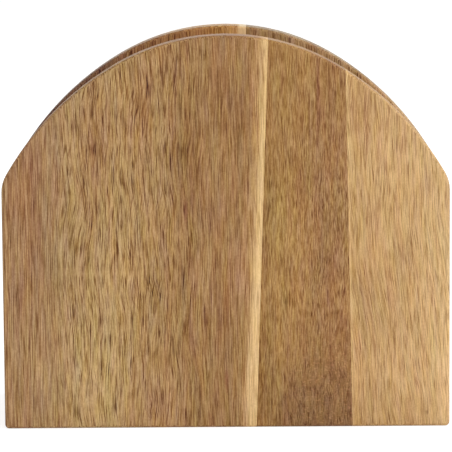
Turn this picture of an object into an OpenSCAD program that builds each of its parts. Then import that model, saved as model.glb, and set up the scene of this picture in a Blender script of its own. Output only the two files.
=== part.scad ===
// Upright napkin holder. Two arched boards, glued up from staves, stand on either side of the
// napkins, and a small drawer opens from one end of the base between them.
// X runs along the boards, the front board faces -Y, Z is up, and the sizes are millimetres.

/* [Boards] */
// Width of each board
board_w = 165; // [140:1:200]
// Height of each board at its crown
board_h = 145.5; // [120:0.5:180]
// Thickness of each board
board_t = 13; // [10:0.5:18]
// Rise of the arch, from where its flanks would meet the sides to the crown
arch_rise = 54; // [48:0.5:62]
// Radius of the arch's crown
crown_r = 81; // [70:1:95]
// Angle that the crown covers on each side of the middle
crown_angle = 30; // [22:1:34]
// Radius of the shoulders, where the flanks turn into the sides
shoulder_r = 13; // [5:0.5:20]
// Radius of the lower corners
foot_r = 1.5; // [0.5:0.1:8]
// Radius of the boards' eased edges
edge_r = 1.2; // [0.4:0.1:3]

/* [Staves] */
// Foot of the front board's left seam, from the middle of the board
front_left_seam = 10.9; // [-15:0.1:25]
// Lean of the left seam, in degrees towards the right
front_left_lean = 2; // [-3:0.1:3]
// Foot of the front board's right seam
front_right_seam = 46.5; // [38:0.1:60]
// Lean of the right seam, in degrees towards the right
front_right_lean = -1; // [-3:0.1:3]
// Foot of the rear board's seam
rear_seam = 8.2; // [-30:0.1:40]
// Lean of the rear board's seam, in degrees towards the right
rear_lean = 0; // [-3:0.1:3]

/* [Base] */
// Clear gap between the boards
slot_gap = 50; // [40:1:75]
// Thickness of the floor that the napkins stand on
floor_t = 8; // [6:0.5:12]
// Thickness of the plate under the drawer
base_t = 8; // [6:0.5:12]
// Clear height of the drawer's tunnel
tunnel_h = 28; // [25:0.5:45]
// Thickness of the panel at the closed end of the tunnel
panel_t = 8; // [6:0.5:15]
// How far the base and the drawer's face sit back from the boards' ends
end_recess = 1.5; // [0:0.1:8]
// Radius of the eased ends of the floor and the base plate
ease_r = 1; // [0.3:0.1:2.5]

/* [Dowels] */
// Diameter of the dowels
dowel_d = 4; // [3:0.1:5]
// Depth of a dowel in a board
dowel_in_board = 8; // [5:0.5:9]
// Depth of a dowel in the floor, the base plate or the end panel
dowel_in_slab = 10; // [6:0.5:14]
// Distance from the middle to the outer dowels
dowel_spread = 60; // [40:1:66]

/* [Drawer] */
// Thickness of the drawer's front
front_t = 10; // [8:0.5:16]
// Depth to which the drawer's sides are let into its front
rabbet_d = 6; // [4:0.5:7.5]
// Thickness of the drawer's sides
side_t = 5; // [4:0.5:8]
// Thickness of the drawer's back
back_t = 6; // [4:0.5:12]
// Thickness of the drawer's bottom
bottom_t = 3; // [2:0.5:5]
// Height of the bottom's groove above the lower edges
groove_up = 3; // [2:0.5:5]
// Depth of the bottom's groove
groove_d = 2.5; // [1:0.5:3.5]
// How much lower the drawer's box is than its front
box_drop = 1.5; // [0:0.5:4]
// Radius of the finger notch
notch_r = 11; // [9:0.5:14]
// Depth of the finger notch
notch_d = 9; // [5:0.5:12]
// Radius of the drawer's eased edges
drawer_ease_r = 0.8; // [0.2:0.1:1.5]

/* [Stop peg] */
// Diameter of the stop peg
peg_d = 6; // [4:0.5:10]
// How far the stop peg hangs into the drawer
peg_drop = 6; // [4:0.5:8]
// Distance from the drawer's face to the stop peg
peg_setback = 31; // [20:1:70]

/* [Brads] */
// Diameter of a brad's shank
brad_d = 1.4; // [1:0.1:1.8]
// Length of a brad
brad_l = 12; // [9:0.5:14]
// Diameter of a brad's head
brad_head_d = 2.2; // [1.9:0.1:2.6]
// Thickness of a brad's head
brad_head_t = 0.6; // [0.3:0.1:1]

/* [Clearances] */
// Gap at each side of the drawer
side_gap = 0.5; // [0.3:0.1:1.5]
// Gap under the drawer
run_gap = 0.3; // [0.2:0.1:0.8]
// Gap over the drawer's front
top_gap = 0.5; // [0.3:0.1:1.5]
// Gap between the closed drawer and the end panel
tail_gap = 0.5; // [0.3:0.1:3]
// Gap round a dowel, peg or brad in its hole
pin_gap = 0.05; // [0.03:0.01:0.15]
// Gap around the drawer's bottom in its grooves
groove_gap = 0.1; // [0.05:0.05:0.3]

/* [Hidden] */

// Greatest distance between a board's true arc and its chords
arc_error = 0.03;
// Steps in an eased edge
ease_steps = 4;
// Thickness of the slices that a board is drawn between
slice_t = 0.01;
// Least radius left on a corner that is drawn in
least_r = 0.05;
// How far a cutting shape runs past what it cuts
past = 1;
// Bevel at the ends of dowels and pegs
pin_bevel = 0.6;
// Bevel round the finger notch
notch_bevel = 0.8;
// Spare depth at the blind end of a dowel's hole
hole_spare = 0.5;
// Distance of a brad from the edge or face beside it
brad_margin = 2.5;
// Distance from the middle to the brads in the drawer's bottom
bottom_brad_y = 5;
// Roundness of drilled holes and turned pins
round_fn = 48;

// The arch: its crown, flank and shoulder arcs meet at a tangent
half_w = board_w / 2;
crown_c = [0, board_h - crown_r];
crown_n = [sin(crown_angle), cos(crown_angle)];
crown_end = crown_c + crown_r * crown_n;
spring = [half_w, board_h - arch_rise] - crown_end;
flank_r = -(spring * spring) / (2 * crown_n * spring);
flank_c = crown_end - flank_r * crown_n;
shoulder_x = half_w - shoulder_r;
shoulder_c = [
    shoulder_x,
    flank_c.y + sqrt(pow(flank_r - shoulder_r, 2) - pow(shoulder_x - flank_c.x, 2)),
];
shoulder_angle = atan2(shoulder_c.x - flank_c.x, shoulder_c.y - flank_c.y);

// Seams, each with the X of its foot and its lean, and beyond a board's ends in their place
left_end = [-board_w, 0];
front_left = [front_left_seam, front_left_lean];
front_right = [front_right_seam, front_right_lean];
rear_middle = [rear_seam, rear_lean];
right_end = [board_w, 0];

// Levels and faces of the base
inner_y = slot_gap / 2;
slab_x = half_w - end_recess;
floor_z = base_t + tunnel_h;
floor_top = floor_z + floor_t;
panel_x = panel_t - slab_x;

// Levels and faces of the drawer
drawer_x = slab_x;
tail_x = panel_x + tail_gap;
lip_x = drawer_x - front_t + rabbet_d;
drawer_y = inner_y - side_gap;
box_y = drawer_y - side_t;
drawer_z = base_t + run_gap;
front_top = floor_z - top_gap;
box_top = front_top - box_drop;
groove_z = drawer_z + groove_up;
bottom_z = groove_z + groove_gap;
bottom_top = bottom_z + bottom_t;

// Places of the pins
dowel_xs = [-dowel_spread, 0, dowel_spread];
peg_x = drawer_x - peg_setback;
front_brad_x = lip_x - rabbet_d / 2;
back_brad_x = tail_x + back_t / 2;
low_brad_z = bottom_top + brad_margin;
side_brads = [
    [front_brad_x, low_brad_z],
    [front_brad_x, front_top - notch_d - brad_margin],
    [back_brad_x, low_brad_z],
    [back_brad_x, box_top - brad_margin - brad_head_d / 2],
];

// Colours
wide_brown = [0.65, 0.49, 0.33];
olive_brown = [0.61, 0.46, 0.31];
pale_tan = [0.78, 0.62, 0.45];
rear_brown = [0.55, 0.40, 0.26];
rear_olive = [0.50, 0.38, 0.25];
pale_wood = [0.84, 0.71, 0.54];
dowel_wood = [0.87, 0.78, 0.62];
steel = [0.72, 0.71, 0.69];

// Points on an arc, with its angles measured from straight up towards +X
function arc(c, r, from, to, n) =
    [for (i = [0 : n]) let (a = from + (to - from) * i / n) c + r * [sin(a), cos(a)]];

// Steps that keep an arc's chords within arc_error of it
function steps(r, sweep) = ceil(sweep / (2 * acos(1 - arc_error / r)));

// Right half of a board's outline, drawn in from the full outline by a distance
function half_outline(inset) =
    let (corner_r = max(foot_r - inset, least_r))
    concat(
        arc(crown_c, crown_r - inset, 0, crown_angle, steps(crown_r, crown_angle)),
        arc(flank_c, flank_r - inset, crown_angle, shoulder_angle,
            steps(flank_r, shoulder_angle - crown_angle)),
        arc(shoulder_c, shoulder_r - inset, shoulder_angle, 90,
            steps(shoulder_r, 90 - shoulder_angle)),
        arc([half_w - inset - corner_r, inset + corner_r], corner_r, 90, 180, ease_steps)
    );

function outline(inset) =
    let (right = half_outline(inset))
    concat(right, [for (i = [len(right) - 1 : -1 : 1]) [-right[i].x, right[i].y]]);

// A rectangle from its lowest to its highest corner, with its upper and lower corners eased
function eased(low, high, top_r, low_r) = concat(
    arc([high.x - top_r, high.y - top_r], top_r, 0, 90, ease_steps),
    arc([high.x - low_r, low.y + low_r], low_r, 90, 180, ease_steps),
    arc([low.x + low_r, low.y + low_r], low_r, 180, 270, ease_steps),
    arc([low.x + top_r, high.y - top_r], top_r, 270, 360, ease_steps)
);

// Extrudes an elevation that is drawn in X and Z, across the holder
module along_y(width) rotate([90, 0, 0]) linear_extrude(width, center = true) children();

// Extrudes a cross-section that is drawn in Y and Z, from one X to another
module along_x(from, to)
    translate([from, 0, 0]) rotate([90, 0, 90]) linear_extrude(to - from) children();

// The strip between two seams
module between(left, right) {
    low = -past;
    high = board_h + past;
    polygon([
        [left[0] + low * tan(left[1]), low],
        [left[0] + high * tan(left[1]), high],
        [right[0] + high * tan(right[1]), high],
        [right[0] + low * tan(right[1]), low],
    ]);
}

// A whole board, standing on z = 0 and centred on y = 0, with its outer edges eased
module board_blank()
    hull()
        for (face = [-1, 1], i = [0 : ease_steps])
            let (a = 90 * i / ease_steps)
            translate([0, face * ((board_t - slice_t) / 2 - edge_r * (1 - cos(a))), 0])
                along_y(slice_t) polygon(outline(edge_r * (1 - sin(a))));

// One stave: the part of a board that lies between two seams
module stave(side, left, right)
    difference() {
        translate([0, side * (inner_y + board_t / 2), 0])
            intersection() {
                board_blank();
                along_y(board_t + 2 * past) between(left, right);
            }
        all_dowels(pin_gap, hole_spare, [side]);
    }

// A round pin or its hole, up from z = 0, with bevelled ends where it is a pin
module pin(d, length, bevel) {
    translate([0, 0, bevel]) cylinder(d = d, h = length - 2 * bevel, $fn = round_fn);
    if (bevel > 0) {
        cylinder(d1 = d - 2 * bevel, d2 = d, h = bevel, $fn = round_fn);
        translate([0, 0, length - bevel])
            cylinder(d1 = d, d2 = d - 2 * bevel, h = bevel, $fn = round_fn);
    }
}

// A dowel across the face between a slab and the board on one side, or its hole
module dowel(x, side, z, gap, spare)
    translate([x, side * inner_y, z])
        rotate([-90 * side, 0, 0])
            translate([0, 0, -dowel_in_slab - spare])
                pin(dowel_d + 2 * gap, dowel_in_slab + dowel_in_board + 2 * spare,
                    spare > 0 ? 0 : pin_bevel);

module row_of_dowels(z, gap = 0, spare = 0, sides = [-1, 1])
    for (side = sides, x = dowel_xs) dowel(x, side, z, gap, spare);

module pair_of_dowels(gap = 0, spare = 0, sides = [-1, 1])
    for (side = sides) dowel(panel_x - panel_t / 2, side, base_t + tunnel_h / 2, gap, spare);

module all_dowels(gap, spare, sides) {
    row_of_dowels(floor_z + floor_t / 2, gap, spare, sides);
    row_of_dowels(base_t / 2, gap, spare, sides);
    pair_of_dowels(gap, spare, sides);
}

module front_stave_left() color(wide_brown) stave(-1, left_end, front_left);

module front_stave_middle() color(olive_brown) stave(-1, front_left, front_right);

module front_stave_right() color(pale_tan) stave(-1, front_right, right_end);

module rear_stave_left() color(rear_brown) stave(1, left_end, rear_middle);

module rear_stave_right() color(rear_olive) stave(1, rear_middle, right_end);

module napkin_floor()
    color(wide_brown)
        difference() {
            along_y(slot_gap)
                polygon(eased([-slab_x, floor_z], [slab_x, floor_top], ease_r, ease_r));
            row_of_dowels(floor_z + floor_t / 2, pin_gap, hole_spare);
            translate([peg_x, 0, floor_z - past])
                pin(peg_d + 2 * pin_gap, floor_t + 2 * past, 0);
        }

module base_plate()
    color(wide_brown)
        difference() {
            along_y(slot_gap) polygon(eased([-slab_x, 0], [slab_x, base_t], ease_r, ease_r));
            row_of_dowels(base_t / 2, pin_gap, hole_spare);
        }

module end_panel()
    color(olive_brown)
        difference() {
            translate([-slab_x, -inner_y, base_t]) cube([panel_t, slot_gap, tunnel_h]);
            pair_of_dowels(pin_gap, hole_spare);
        }

module floor_dowels() color(dowel_wood) row_of_dowels(floor_z + floor_t / 2);

module base_dowels() color(dowel_wood) row_of_dowels(base_t / 2);

module panel_dowels() color(dowel_wood) pair_of_dowels();

// The peg is glued in flush with the floor once the drawer is in its tunnel
module stop_peg()
    color(dowel_wood)
        translate([peg_x, 0, floor_z - peg_drop]) pin(peg_d, floor_t + peg_drop, pin_bevel);

// A brad with its head at z = 0 and its point below, or its hole
module brad(gap = 0) {
    translate([0, 0, -brad_head_t - gap])
        cylinder(d = brad_head_d + 2 * gap, h = brad_head_t + gap, $fn = round_fn);
    translate([0, 0, -brad_l - gap])
        cylinder(d = brad_d + 2 * gap, h = brad_l, $fn = round_fn);
}

// Repeats its children at every brad, with +Z pointing out of the wood
module at_brads() {
    for (side = [-1, 1], place = side_brads)
        translate([place.x, side * drawer_y, place.y]) rotate([-90 * side, 0, 0]) children();
    for (side = [-1, 1])
        translate([back_brad_x, side * bottom_brad_y, bottom_z]) rotate([180, 0, 0]) children();
}

// The front's lip covers the ends of the sides, and its inner part fits between them
module drawer_front()
    color(wide_brown)
        difference() {
            union() {
                intersection() {
                    along_y(2 * drawer_y)
                        polygon(eased([lip_x - front_t, drawer_z], [drawer_x, front_top],
                            drawer_ease_r, drawer_ease_r));
                    translate([0, 0, drawer_z])
                        linear_extrude(front_top - drawer_z)
                            polygon(eased([lip_x - front_t, -drawer_y], [drawer_x, drawer_y],
                                drawer_ease_r, drawer_ease_r));
                    translate([lip_x, -drawer_y, drawer_z])
                        cube([front_t - rabbet_d, 2 * drawer_y, front_top - drawer_z]);
                }
                translate([drawer_x - front_t, -box_y, drawer_z])
                    cube([rabbet_d, 2 * box_y, front_top - drawer_z]);
            }
            finger_notch();
            translate([drawer_x - front_t - past, -box_y - past, groove_z])
                cube([groove_d + past, 2 * (box_y + past), bottom_t + 2 * groove_gap]);
            at_brads() brad(pin_gap);
        }

// A half-moon through the front's upper edge, bevelled at the face
module finger_notch()
    translate([drawer_x, 0, front_top - notch_d + notch_r])
        rotate([0, -90, 0]) {
            translate([0, 0, -past]) cylinder(r = notch_r, h = front_t + 2 * past, $fn = 2 * round_fn);
            translate([0, 0, -notch_bevel])
                cylinder(r1 = notch_r + 2 * notch_bevel, r2 = notch_r, h = 2 * notch_bevel,
                    $fn = 2 * round_fn);
        }

module drawer_side()
    color(pale_wood)
        difference() {
            along_x(tail_x, lip_x)
                difference() {
                    polygon(eased([box_y, drawer_z], [drawer_y, box_top], drawer_ease_r, 0));
                    translate([box_y - past, groove_z])
                        square([groove_d + past, bottom_t + 2 * groove_gap]);
                }
            at_brads() brad(pin_gap);
        }

module drawer_side_near() mirror([0, 1, 0]) drawer_side();

module drawer_side_far() drawer_side();

module drawer_back()
    color(pale_wood)
        difference() {
            along_y(2 * box_y)
                polygon(eased([tail_x, bottom_top], [tail_x + back_t, box_top], drawer_ease_r, 0));
            at_brads() brad(pin_gap);
        }

// The bottom lies in the grooves of the sides and the front, and runs out under the back
module drawer_bottom() {
    reach = groove_d - groove_gap;
    color(pale_wood)
        difference() {
            translate([tail_x, -box_y - reach, bottom_z])
                cube([drawer_x - front_t + reach - tail_x, 2 * (box_y + reach), bottom_t]);
            at_brads() brad(pin_gap);
        }
}

module drawer_brads() color(steel) at_brads() brad();

front_stave_left();
front_stave_middle();
front_stave_right();
rear_stave_left();
rear_stave_right();
napkin_floor();
base_plate();
end_panel();
floor_dowels();
base_dowels();
panel_dowels();
stop_peg();
drawer_front();
drawer_side_near();
drawer_side_far();
drawer_back();
drawer_bottom();
drawer_brads();
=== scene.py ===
"""Looks of an upright wooden napkin holder with an end drawer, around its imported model.

Lengths in the shading code are millimetres of wood, and u, v and w count them across, through and
along the grain. Display values run from 0 to 255, and a step is a change of colour in them.
"""

import math
from collections import namedtuple

import bpy
from mathutils import Matrix, Vector

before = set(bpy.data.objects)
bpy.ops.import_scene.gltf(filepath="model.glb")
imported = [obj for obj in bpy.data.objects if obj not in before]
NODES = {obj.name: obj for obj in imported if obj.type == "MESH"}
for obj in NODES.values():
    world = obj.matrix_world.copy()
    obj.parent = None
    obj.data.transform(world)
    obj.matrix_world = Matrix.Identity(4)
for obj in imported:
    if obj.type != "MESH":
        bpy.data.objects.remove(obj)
bpy.context.view_layer.update()

MM = 0.001
WHITE = (1.0, 1.0, 1.0, 1.0)

# Mesh points nearer than this many millimetres are one, and edges past this angle stay sharp
WELD = 0.01
SHARP_ANGLE = math.radians(32)

DISPLAY_GAMMA = 2.2
SPECULAR = 0.25

Box = namedtuple("Box", "low high")


def box(name):
    """The low and the high corner of a piece, in millimetres."""
    sides = list(zip(*NODES[name].bound_box))
    return Box(Vector([min(side) / MM for side in sides]), Vector([max(side) / MM for side in sides]))


# ---------------------------------------------------------------- shader graphs

def display(color):
    return (*[value / 255 for value in color], 1.0)


class Num:
    """A number that varies over a surface. Arithmetic on it adds the nodes that work it out."""

    def __init__(self, graph, socket):
        self.graph = graph
        self.socket = socket

    def __add__(self, other):
        return self.graph.math("ADD", self, other)

    def __sub__(self, other):
        return self.graph.math("SUBTRACT", self, other)

    def __rsub__(self, other):
        return self.graph.math("SUBTRACT", other, self)

    def __mul__(self, other):
        return self.graph.math("MULTIPLY", self, other)

    __radd__ = __add__
    __rmul__ = __mul__


class Graph:
    """The nodes of a new material or world, with a short call for each kind that the scene needs.
"""

    def __init__(self, owner):
        self.owner = owner
        self.owner.use_nodes = True
        self.tree = owner.node_tree
        self.tree.nodes.clear()

    def node(self, kind, values=None, **settings):
        made = self.tree.nodes.new(kind)
        for key, value in settings.items():
            setattr(made, key, value)
        for key, value in (values or {}).items():
            self.feed(made.inputs[key], value)
        return made

    def feed(self, socket, value):
        if isinstance(value, Num):
            value = value.socket
        if isinstance(value, bpy.types.NodeSocket):
            self.tree.links.new(value, socket)
        elif socket.type == "VECTOR":
            socket.default_value = [value] * 3 if isinstance(value, float) else value[:3]
        else:
            socket.default_value = value

    def math(self, operation, *values):
        made = self.node("ShaderNodeMath", dict(enumerate(values)), operation=operation)
        return Num(self, made.outputs[0])

    def fade(self, value, start, end):
        """0 where value is at start, 1 where it is at end, and smooth between them."""
        made = self.node("ShaderNodeMapRange", {"Value": value, "From Min": start, "From Max": end},
                         interpolation_type="SMOOTHSTEP")
        return Num(self, made.outputs["Result"])

    def place(self, grain):
        """Across, through and along the grain, in millimetres, where the grain runs along an axis."""
        coordinates = self.node("ShaderNodeTexCoord").outputs["Object"]
        split = self.node("ShaderNodeSeparateXYZ", {"Vector": coordinates})
        order = {"x": "YZX", "y": "XZY", "z": "XYZ"}[grain]
        return [Num(self, split.outputs[axis]) * (1 / MM) for axis in order]

    def facing(self, axis):
        """How squarely a face looks along an axis, from 0 to 1."""
        normal = self.node("ShaderNodeTexCoord").outputs["Normal"]
        split = self.node("ShaderNodeSeparateXYZ", {"Vector": normal})
        return self.math("ABSOLUTE", split.outputs[axis.upper()])

    def point(self, across, through, along):
        return self.node("ShaderNodeCombineXYZ", {0: across, 1: through, 2: along}).outputs[0]

    def cells(self, point, size, seed):
        """A point counted in cells of a size, moved far off by a seed so that no two patterns match."""
        scale = [1 / length for length in size]
        shift = (7.31 * seed, 3.77 * seed, 5.13 * seed)
        return self.node("ShaderNodeVectorMath", {0: point, 1: scale, 2: shift},
                         operation="MULTIPLY_ADD").outputs[0]

    def noise(self, point, size, seed, detail=1.0):
        """Smooth noise about 0, mostly within -0.6 and 0.6, whose features have a size."""
        made = self.node("ShaderNodeTexNoise", {
            "Vector": self.cells(point, size, seed), "Scale": 1.0, "Detail": detail})
        return Num(self, made.outputs[0]) * 2.0 - 1.0

    def ramp(self, value, stops):
        """A colour that changes with value, from stops of a value and a display colour."""
        low, high = stops[0][0], stops[-1][0]
        part = self.node("ShaderNodeMapRange", {"Value": value, "From Min": low, "From Max": high})
        made = self.node("ShaderNodeValToRGB", {"Fac": part.outputs["Result"]})
        elements = made.color_ramp.elements
        while len(elements) < len(stops):
            elements.new(1.0)
        for element, (stop, color) in zip(elements, stops):
            element.position = (stop - low) / (high - low)
            element.color = display(color)
        return made.outputs["Color"]

    def mix(self, amount, low, high):
        made = self.node("ShaderNodeMix", {"Factor": amount}, data_type="RGBA")
        self.feed(made.inputs[6], low)
        self.feed(made.inputs[7], high)
        return made.outputs[2]

    def number_mix(self, amount, low, high):
        made = self.node("ShaderNodeMix", {"Factor": amount, 2: low, 3: high})
        return Num(self, made.outputs[0])

    def shift(self, color, amount, step):
        """A colour moved by so many times a step."""
        step = [value / 255 for value in step]
        return self.node("ShaderNodeVectorMath", {0: amount, 1: step, 2: color},
                         operation="MULTIPLY_ADD").outputs[0]

    def marked(self, color, across, along, marks):
        """A colour with soft oval marks, each with its middle, its half sizes and its full step."""
        for (x, z), (half_x, half_z), step in marks:
            place = self.point((across - x) * (1 / half_x), (along - z) * (1 / half_z), 0.0)
            reach = self.node("ShaderNodeVectorMath", {0: place}, operation="LENGTH").outputs["Value"]
            color = self.shift(color, self.fade(reach, 1.0, 0.0), step)
        return color

    def finish(self, color, roughness, relief, depth, metallic=0.0):
        """The material, from a display colour, a roughness and a relief of some millimetres' depth."""
        linear = self.node("ShaderNodeGamma", {"Color": color, "Gamma": DISPLAY_GAMMA}).outputs[0]
        bump = self.node("ShaderNodeBump", {"Distance": depth * MM, "Height": relief})
        shader = self.node("ShaderNodeBsdfPrincipled", {
            "Base Color": linear, "Metallic": metallic, "Roughness": roughness,
            "Specular IOR Level": SPECULAR, "Normal": bump.outputs["Normal"]})
        return self.surface(shader.outputs["BSDF"])

    def surface(self, shader):
        self.node("ShaderNodeOutputMaterial", {"Surface": shader})
        return self.owner


# ---------------------------------------------------------------- woods

# What the light that an oiled face mirrors adds to its colour is taken off beforehand
SHEEN = (-5, -6, -10)
WOOD_ROUGHNESS = 0.48
RELIEF_DEPTH = 0.05

# How far the parts of the figure move the tone, and the levels that keep its mean where it was
GRIT_STEP = 17
FINE_STEP = 34
PORE_STEP = 79
FIGURE_LEVEL = 35.5
STRAIGHT_STEP = 50
STRAIGHT_LEVEL = 0.5
RING_STEP = 34
DOT_STEP = 16

# One step of tone, which leaves darks a little purple and lights a little golden
TONE = (0.98, 1.0, 0.88)

# How far fibres swing at most, and over what distances they do
SWING = 4.0
SWING_SIZE = (16, 16, 34)

# The growth rings' slant across an end, as a cosine and a sine
RING_SLANT = (0.94, 0.34)

# What lies under the fibres: a display colour, how far these swing, how strongly they show and
# how many millimetres they are pushed aside
Ground = namedtuple("Ground", "color lean contrast push", defaults=(1.0, 1.0, 0.0))


def bent(g, place, ground, seed):
    """The point at a place as one set of fibres has it, which swings and is pushed aside."""
    u, v, w = place
    swing = g.noise(g.point(u, v, w), SWING_SIZE, seed) * (ground.lean * SWING)
    return g.point(u + ground.push + swing, v, w)


def fibres(g, one, two, lean, seed, length, width):
    """The pores, fine lines and straight lines of two crossing sets, and the patches they gather in.

    Pores are short where the fibres swing, and long where they don't."""
    def size(across, along):
        return across * width, across * width, along * length

    def dashes(point, across, along, number, start=0.02):
        return g.fade(g.noise(point, size(across, along), seed + number), start, 0.5)

    short = g.math("MAXIMUM", dashes(one, 0.32, 8.0, 0.4), dashes(two, 0.3, 7.0, 0.5))
    short = short + dashes(two, 0.45, 8.0, 0.6) * 0.3
    long = dashes(one, 0.28, 15, 0.7) + dashes(two, 0.3, 10, 0.8)
    pores = g.number_mix(lean, long * 0.4, short)
    fine = dashes(one, 0.3, 9, 0.9, start=-0.25)
    straight = dashes(one, 0.38, 10, 0.85, start=-0.15)
    patches = g.noise(two, size(2.4, 9), seed + 0.3, detail=2.0)
    return pores, fine, straight, patches


def end_grain(g, place, grain, seed):
    """The tone of growth rings and cut pores, on the faces that cross the grain."""
    u, v, w = place
    cosine, sine = RING_SLANT
    tilted = g.point(u * cosine + v * sine, v * cosine - u * sine, w)
    rings = g.noise(tilted, (1.3, 26, 90), seed + 1.4, detail=2.0)
    dots = g.fade(g.noise(g.point(u, v, w), (0.5, 0.5, 9), seed + 1.5), 0.15, 0.4)
    ends = g.fade(g.facing(grain), 0.25, 0.8)
    return ends * (rings * RING_STEP - dots * DOT_STEP)


def wood(name, grain, seed, paint, contrast=1.0, length=1.0, width=1.0):
    """A solid wood whose fibres cross each other a little, over the ground that paint() gives.

    length and width say how long and how coarse the fibres run."""
    g = Graph(bpy.data.materials.new(name))
    place = g.place(grain)
    ground = paint(g, *place)
    one = bent(g, place, ground, seed + 0.1)
    two = bent(g, place, ground, seed + 0.2)
    pores, fine, straight, patches = fibres(g, one, two, ground.lean, seed, length, width)
    gather = patches * (ground.lean * 0.8 + 0.2) + 1.0
    grit = g.noise(g.point(*place), (0.5, 0.5, 0.7), seed + 1.0)
    tone = grit * GRIT_STEP - (fine * FINE_STEP + pores * PORE_STEP) * gather + FIGURE_LEVEL
    tone = tone - (1.0 - ground.lean) * (straight * STRAIGHT_STEP + STRAIGHT_LEVEL)
    tone = tone + end_grain(g, place, grain, seed)
    # The tone itself, then long bands, patches, and reddish and yellowish threads
    tints = [
        (tone, TONE),
        (g.noise(one, (2.2, 2.2, 60), seed + 1.1, detail=2.0), (7, 6, 0)),
        (patches * ground.lean, (9, 10, 18)),
        (g.noise(one, (2.8, 2.8, 22), seed + 1.2), (6, -3, -1)),
        (g.noise(two, (1.7, 1.7, 14), seed + 1.3), (2, 2, -11)),
    ]
    shown = ground.contrast * contrast
    color = g.shift(ground.color, 1.0, SHEEN)
    for amount, step in tints:
        color = g.shift(color, amount * shown, step)
    return g.finish(color, WOOD_ROUGHNESS + pores * 0.15, fine * -0.2 - pores, RELIEF_DEPTH)


def plain(color, lean=1.0):
    """A paint() of one display colour, with slow changes along and across."""
    def paint(g, u, v, w):
        slow = g.noise(g.point(u, v, w), (14, 14, 50), seed=sum(color), detail=2.0)
        return Ground(g.shift(display(color), slow * 14, (1, 1, 0.8)), lean)
    return paint


# ---------------------------------------------------------------- the boards' staves

# The front board's seams stand at the middle stave's corners and lean over it as they rise
LEFT_SEAM = box("front_stave_middle").low.x
RIGHT_SEAM = box("front_stave_middle").high.x
LEFT_SLOPE = (box("front_stave_left").high.x - LEFT_SEAM) / box("front_stave_middle").high.z
RIGHT_SLOPE = (RIGHT_SEAM - box("front_stave_right").low.x) / box("front_stave_right").high.z

# The rear board's seam is plumb, and its inner face looks at the napkins
REAR_SEAM = box("rear_stave_left").high.x
REAR_INNER_FACE = box("rear_stave_left").low.y

# Pale sapwood at the seams, and the brown that it fades into
SAP = (229, 191, 139)
SAP_DARK = (190, 148, 102)
REAR_SAP = (230, 192, 146)

# Painted light on the boards' edge faces: painted shade that darkens the front board's edges,
# more on the left, and a painted reflection of the pale room that greys the rear board's edges
LEFT_EDGE_PAINTED_SHADE = (-16, -20, -23)
RIGHT_EDGE_PAINTED_SHADE = (-10, -9, -7)
REAR_EDGE_PAINTED_REFLECTION = (-3, 10, 20)

# The left stave's bands of colour lean to the right by this slope, about this height
BAND_SLOPE = 0.045
BAND_HEIGHT = 72

# The middle, half sizes and step of soft patches in the front staves and, in the last lines of each
# list, of dark streaks and a spot
LEFT_MARKS = [
    ((-76, 92), (9, 34), (-9, -11, -8)),
    ((-70, 72), (5, 40), (-10, -12, -9)),
    ((-76, 50), (6, 18), (-9, -10, -8)),
    ((-70, 18), (7, 18), (11, 11, 10)),
    ((-48, 106), (9, 36), (-14, -19, -16)),
    ((-56, 70), (4, 18), (-9, -9, -8)),
    ((-39, 126), (6, 14), (9, 9, 8)),
    ((-14, 102), (10, 35), (-15, -16, -15)),
    ((5, 116), (9, 32), (-6, -7, -6)),
    ((-20, 12), (11, 24), (13, 13, 12)),
    ((-9, 56), (6, 14), (8, 7, 7)),
    ((-1, 40), (5, 24), (-8, -9, -8)),
    ((-33, 126), (16, 34), (-11, -15, -13)),
    ((-50, 20), (22, 46), (16, 17, 13)),
    ((-61, 64), (5, 26), (7, 8, 6)),
    ((-42, 60), (15, 26), (10, 8, 7)),
    ((6, 58), (9, 24), (9, 7, 7)),
    ((-3, 124), (10, 26), (-9, -10, -9)),
    ((9, 116), (4, 32), (-12, -13, -11)),
    ((-16.2, 57), (0.9, 10), (-34, -32, -22)),
    ((-25.2, 77), (0.9, 6.5), (-34, -32, -22)),
    ((-14.5, 81), (1.3, 7), (-26, -32, -16)),
    ((-5.8, 74.5), (0.9, 4), (-28, -28, -18)),
    ((-19.5, 29), (0.9, 5.5), (-34, -32, -22)),
    ((-10, 14), (0.9, 6), (-30, -30, -18)),
    ((0, 18), (1.4, 7), (-22, -30, -14)),
]
MIDDLE_MARKS = [
    ((20, 82), (9, 30), (3, 4, 2)),
    ((14, 10), (7, 36), (-14, -13, -9)),
    ((17, 82), (5, 28), (-11, -10, -8)),
    ((27, 95), (5, 36), (-9, -9, -8)),
    ((36, 68), (9, 80), (-8, -8, -3)),
    ((40, 132), (8, 18), (-9, -9, -7)),
    ((22, 47), (1.1, 4), (-36, -32, -24)),
    ((34, 124), (1.2, 21), (-26, -30, -18)),
    ((38.2, 125), (0.9, 17), (-30, -30, -22)),
    ((30.7, 117), (0.8, 11), (-32, -32, -24)),
]
RIGHT_MARKS = [
    ((60, 100), (12, 30), (6, 6, 6)),
    ((51, 118), (7, 22), (-11, -11, -9)),
    ((53, 46), (7, 20), (-9, -9, -8)),
    ((65, 60), (6, 14), (-9, -8, -6)),
    ((48, 60), (4, 22), (-9, -9, -8)),
    ((60, 36), (6, 18), (-11, -11, -10)),
    ((62, 25), (10, 20), (7, 7, 7)),
    ((82, 12), (9, 40), (12, 12, 12)),
    ((74.1, 5.3), (0.8, 1.4), (-44, -42, -34)),
]


def with_painted_edge_light(g, color, step):
    """A board's colour, moved by a step of painted light on the faces of its edge."""
    return g.shift(color, g.fade(g.facing("y"), 0.8, 0.25), step)


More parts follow.
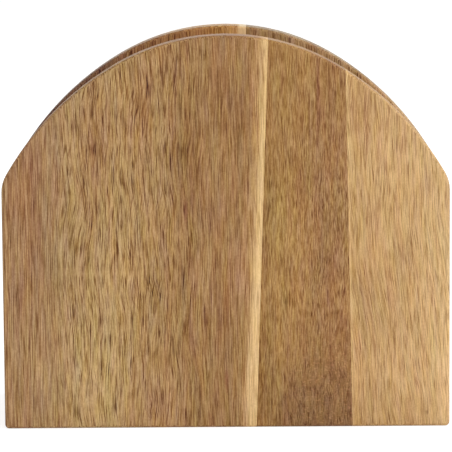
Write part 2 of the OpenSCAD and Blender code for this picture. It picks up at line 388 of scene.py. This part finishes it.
def front_left(g, u, v, w):
    """Brown heartwood, reddish and straight at the outer edge, golden within, and pale at the seam."""
    flat = g.point(u, v, w)
    side = u - (w - BAND_HEIGHT) * BAND_SLOPE + g.noise(flat, (7, 7, 50), 21) * 4
    color = g.ramp(side, [
        (-84, (166, 127, 91)), (-70, (162, 124, 90)), (-64, (165, 130, 93)), (-57, (164, 129, 90)),
        (-46, (168, 134, 92)), (-36, (170, 135, 92)), (-28, (166, 129, 88)), (-18, (157, 119, 80)),
        (8, (157, 118, 79))])
    color = g.marked(color, u, w, LEFT_MARKS)
    # The pale strip narrows as it rises, but for its last stretch, and is dimmer at the foot
    depth = (LEFT_SEAM + w * LEFT_SLOPE) - u + g.noise(flat, (1.2, 1.2, 26), 22) * 0.9
    narrowing = w * 0.024 - g.fade(w, 122, 140)
    sap = g.fade(depth + narrowing, 6.4, 2.4) * (g.fade(w, -6, 22) * 0.3 + 0.7)
    color = g.mix(g.fade(depth, 9.0, 2.0) * 0.7, color, display(SAP_DARK))
    color = g.mix(sap, color, display(SAP))
    lean = g.fade(u, -72, -55) * (1.0 - g.fade(u, -28, 4) * 0.6)
    # Painted shade darkens the faces of the board's edge
    return Ground(with_painted_edge_light(g, color, LEFT_EDGE_PAINTED_SHADE), lean, 1.0 - sap * 0.25)


def front_middle(g, u, v, w):
    """Olive brown, calmer at the top, and darker and mottled low down on the right."""
    flat = g.point(u, v, w)
    color = g.ramp(u - w * LEFT_SLOPE + g.noise(flat, (4, 4, 60), 23) * 2, [
        (LEFT_SEAM, (152, 112, 67)), (13.5, (164, 124, 77)), (24, (164, 124, 79)), (36, (160, 119, 78)),
        (46, (156, 115, 77))])
    color = g.marked(color, u, w, MIDDLE_MARKS)
    low = g.fade(w + g.noise(flat, (4, 4, 5), 25, detail=3.0) * 20, 36, 6) * g.fade(u, 10, 28)
    color = g.mix(low, color, display((134, 98, 66)))
    calm = g.fade(w, 85, 125) * 0.5
    color = g.shift(color, g.noise(flat, (3.5, 3.5, 10), 33, detail=3.0) * (1.0 - calm), (20, 21, 12))
    mottled = g.fade(w, 46, 20) * g.fade(u, 20, 30)
    flecks = g.fade(g.noise(flat, (1.2, 1.2, 0.7), 32, detail=2.0), 0.0, 0.4)
    color = g.shift(color, flecks * mottled, (26, 20, 18))
    right = g.fade(u, 16, 34)
    lean = (low * 0.5 + right * 0.35 + 0.2) * (1.0 - calm)
    return Ground(color, lean, right * 0.12 + 0.88 - mottled * 0.4 - calm * 0.2)


def front_right(g, u, v, w):
    """Tan, paler at the seam and towards the outer edge, and darker at the foot."""
    flat = g.point(u, v, w)
    color = g.ramp(u + g.noise(flat, (6, 6, 50), 26) * 4, [
        (46, (194, 154, 108)), (60, (197, 157, 111)), (70, (201, 162, 116)), (82, (207, 170, 123))])
    color = g.shift(color, g.fade(u + w * RIGHT_SLOPE - RIGHT_SEAM, 1.4, 0.4), (16, 16, 12))
    color = g.shift(color, g.fade(w, 20, 0), (-9, -9, -7))
    color = g.marked(color, u, w, RIGHT_MARKS)
    push = g.fade(w, -40, 110) * 9
    # Painted shade darkens the faces of the board's edge
    return Ground(with_painted_edge_light(g, color, RIGHT_EDGE_PAINTED_SHADE), 0.6, push=push)


def rear_left(g, u, v, w):
    """Reddish brown, with painted shade on the inner face's outer end, and pale at the seam."""
    flat = g.point(u, v, w)
    # The darkest stops, at the outer end, are painted shade of the gap between the boards. The
    # bands of colour run aslant through the board, so that this shade lies on the inner face alone
    color = g.ramp(u + (v - REAR_INNER_FACE) * 2.5 + g.noise(flat, (6, 6, 40), 27) * 5, [
        (-60, (112, 78, 60)), (-46, (124, 86, 64)), (-38, (140, 98, 66)), (-22, (150, 106, 70)),
        (-10, (160, 110, 67)), (-4, (170, 121, 71)), (3, (183, 133, 82)), (8, (186, 136, 84))])
    depth = REAR_SEAM - u - g.noise(flat, (1.5, 1.5, 20), 28) * 0.6
    sap = g.fade(depth, 3.9, 2.0)
    color = g.mix(sap, color, display(REAR_SAP))
    # A painted reflection of the pale room greys the faces of the board's edge
    return Ground(with_painted_edge_light(g, color, REAR_EDGE_PAINTED_REFLECTION), 0.8, 1.0 - sap * 0.75)


def rear_right(g, u, v, w):
    """Dark olive brown."""
    flat = g.point(u, v, w)
    color = g.ramp(u + g.noise(flat, (6, 6, 40), 29) * 5, [
        (8, (149, 113, 76)), (19, (158, 121, 84)), (28, (165, 130, 94)), (36, (157, 118, 82)),
        (44, (168, 130, 92)), (52, (152, 112, 74)), (60, (176, 136, 96)), (72, (188, 152, 114))])
    # A painted reflection of the pale room greys the faces of the board's edge
    return Ground(with_painted_edge_light(g, color, REAR_EDGE_PAINTED_REFLECTION), 0.8)


# ---------------------------------------------------------------- dressing the pieces

def steel(name):
    """Bright steel with fine scratches along X."""
    g = Graph(bpy.data.materials.new(name))
    scratches = g.noise(g.point(*g.place("x")), (0.05, 0.05, 0.6), 31, detail=2.0)
    color = g.shift(display((184, 182, 178)), scratches * 10, (1, 1, 1))
    return g.finish(color, 0.32 + scratches * 0.1, scratches, 0.005, metallic=1.0)


def make_materials():
    """The material of each node, by the node's name."""
    pale = plain((214, 182, 140), 0.3)
    paler = plain((222, 198, 158), 0.2)
    base = wood("base_wood", "x", 6, plain((158, 118, 80)))
    side = wood("box_side_wood", "x", 10, pale, contrast=0.45, length=1.5)
    back = wood("box_back_wood", "y", 11, pale, contrast=0.45, length=1.5)
    bottom = wood("box_bottom_wood", "x", 12, plain((220, 191, 149), 0.6), contrast=0.4)
    dowel = wood("dowel_wood", "y", 13, paler, contrast=0.4)
    peg = wood("peg_wood", "z", 14, paler, contrast=0.4)
    return {
        "front_stave_left": wood("front_left_wood", "z", 1, front_left),
        "front_stave_middle": wood("front_middle_wood", "z", 2, front_middle, length=0.48, width=1.1),
        "front_stave_right": wood("front_right_wood", "z", 3, front_right, contrast=0.9),
        "rear_stave_left": wood("rear_left_wood", "z", 4, rear_left),
        "rear_stave_right": wood("rear_right_wood", "z", 5, rear_right),
        "napkin_floor": base,
        "base_plate": base,
        "end_panel": wood("panel_wood", "y", 8, plain((153, 113, 76))),
        "floor_dowels": dowel,
        "base_dowels": dowel,
        "panel_dowels": dowel,
        "stop_peg": peg,
        "drawer_front": wood("drawer_front_wood", "y", 9, plain((170, 130, 88))),
        "drawer_side_near": side,
        "drawer_side_far": side,
        "drawer_back": back,
        "drawer_bottom": bottom,
        "drawer_brads": steel("brad_steel"),
    }


def make_smoother():
    """A node group that joins a mesh's faces and shades every edge smooth but the sharp ones."""
    group = bpy.data.node_groups.new("smoother", "GeometryNodeTree")
    for way in ("INPUT", "OUTPUT"):
        group.interface.new_socket("Geometry", in_out=way, socket_type="NodeSocketGeometry")
    made = group.nodes.new
    start = made("NodeGroupInput")
    bare = made("GeometryNodeRemoveAttribute")
    bare.inputs["Name"].default_value = "custom_normal"
    joined = made("GeometryNodeMergeByDistance")
    joined.inputs["Distance"].default_value = WELD * MM
    faces = made("GeometryNodeSetShadeSmooth")
    angle = made("GeometryNodeInputMeshEdgeAngle")
    sharp = made("FunctionNodeCompare")
    sharp.operation = "GREATER_THAN"
    sharp.inputs["B"].default_value = SHARP_ANGLE
    edges = made("GeometryNodeSetShadeSmooth")
    edges.domain = "EDGE"
    edges.inputs["Shade Smooth"].default_value = False
    end = made("NodeGroupOutput")
    link = group.links.new
    for one, other in zip((start, bare, joined, faces, edges), (bare, joined, faces, edges, end)):
        link(one.outputs[0], other.inputs[0])
    link(angle.outputs["Unsigned Angle"], sharp.inputs["A"])
    link(sharp.outputs["Result"], edges.inputs["Selection"])
    return group


def smooth(piece, smoother):
    piece.modifiers.new("smoother", "NODES").node_group = smoother
    weighted = piece.modifiers.new("weighted_normals", "WEIGHTED_NORMAL")
    weighted.keep_sharp = True


def dress():
    smoother = make_smoother()
    for name, material in make_materials().items():
        NODES[name].data.materials.clear()
        NODES[name].data.materials.append(material)
        smooth(NODES[name], smoother)


# ---------------------------------------------------------------- stage, light and camera

# Sizes and places here are metres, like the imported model's, and powers are watts
FLOOR_SIZE = 16.0

# The grey that the floor lights the object with, and the grey and the glow that the camera sees,
# which add up to white where no shadow falls
FLOOR_GREY = (0.8, 0.8, 0.8, 1.0)
FLOOR_SEEN_GREY = (0.6, 0.6, 0.6, 1.0)
FLOOR_GLOW = 0.68

WORLD_LIGHT = 0.58

# Square soft boxes, each with its place and power, which face the middle of the object
LAMP_SIZE = 1.2
LAMP_AIM = Vector((0, 0, 0.07))
LAMPS = {
    "key": ((0.9, -1.5, 0.7), 10.5),
    "fill": ((-0.9, -1.3, 0.5), 2.0),
    "right": ((1.1, 0.1, 1.2), 10.0),
    "back": ((-0.3, 1.6, 1.0), 3.0),
}

# The camera's place and angles, fitted to the outlines of both boards in the photograph
CAMERA_PLACE = Vector((2.64, -1113.1, 211.9)) * MM
CAMERA_PITCH = 0.1263
CAMERA_YAW = 0.0024
CAMERA_ROLL = 0.0073
IMAGE_WIDTH = 452
FOCAL_PIXELS = 2945.6
SENSOR_WIDTH = 36.0


def seen_plainly(g):
    """1 for rays from the camera, mirrors and glass, which show a backdrop as white, and 0 for others."""
    rays = g.node("ShaderNodeLightPath").outputs
    seen = g.math("MAXIMUM", rays["Is Camera Ray"], rays["Is Glossy Ray"])
    return g.math("MAXIMUM", seen, rays["Is Transmission Ray"])


def make_floor():
    """A pale floor that reads as white where the light falls on it, and keeps the shadow."""
    bpy.ops.mesh.primitive_plane_add(size=FLOOR_SIZE, location=(0, 0, 0))
    floor = bpy.context.object
    floor.name = "studio_floor"
    g = Graph(bpy.data.materials.new("studio_floor"))
    pale = g.node("ShaderNodeBsdfDiffuse", {"Color": FLOOR_GREY}).outputs[0]
    lit = g.node("ShaderNodeBsdfDiffuse", {"Color": FLOOR_SEEN_GREY}).outputs[0]
    glow = g.node("ShaderNodeEmission", {"Color": WHITE, "Strength": FLOOR_GLOW}).outputs[0]
    white = g.node("ShaderNodeAddShader", {0: lit, 1: glow}).outputs[0]
    shader = g.node("ShaderNodeMixShader", {0: seen_plainly(g), 1: pale, 2: white}).outputs[0]
    floor.data.materials.append(g.surface(shader))


def make_world():
    """A soft light from all sides, which is plain white to the eye."""
    world = bpy.data.worlds.new("studio")
    g = Graph(world)
    soft = g.node("ShaderNodeBackground", {"Color": WHITE, "Strength": WORLD_LIGHT}).outputs[0]
    white = g.node("ShaderNodeBackground", {"Color": WHITE, "Strength": 1.0}).outputs[0]
    shader = g.node("ShaderNodeMixShader", {0: seen_plainly(g), 1: soft, 2: white}).outputs[0]
    g.node("ShaderNodeOutputWorld", {"Surface": shader})
    bpy.context.scene.world = world


def make_lamp(name, place, power):
    light = bpy.data.lights.new(name, "AREA")
    light.size = LAMP_SIZE
    light.energy = power
    lamp = bpy.data.objects.new(name, light)
    bpy.context.scene.collection.objects.link(lamp)
    lamp.location = place
    lamp.rotation_mode = "QUATERNION"
    lamp.rotation_quaternion = (LAMP_AIM - Vector(place)).to_track_quat("-Z", "Y")


def make_lights():
    make_world()
    for name, (place, power) in LAMPS.items():
        make_lamp(name, place, power)


def make_camera():
    data = bpy.data.cameras.new("camera")
    data.sensor_width = SENSOR_WIDTH
    data.lens = FOCAL_PIXELS * SENSOR_WIDTH / IMAGE_WIDTH
    camera = bpy.data.objects.new("camera", data)
    bpy.context.scene.collection.objects.link(camera)
    level = math.pi / 2
    camera.matrix_world = (
        Matrix.Translation(CAMERA_PLACE)
        @ Matrix.Rotation(CAMERA_YAW, 4, "Z")
        @ Matrix.Rotation(level - CAMERA_PITCH, 4, "X")
        @ Matrix.Rotation(-CAMERA_ROLL, 4, "Z")
    )
    bpy.context.scene.camera = camera


dress()
make_floor()
make_lights()
make_camera()
bpy.context.scene.view_settings.view_transform = "Standard"

bpy.context.view_layer.update()
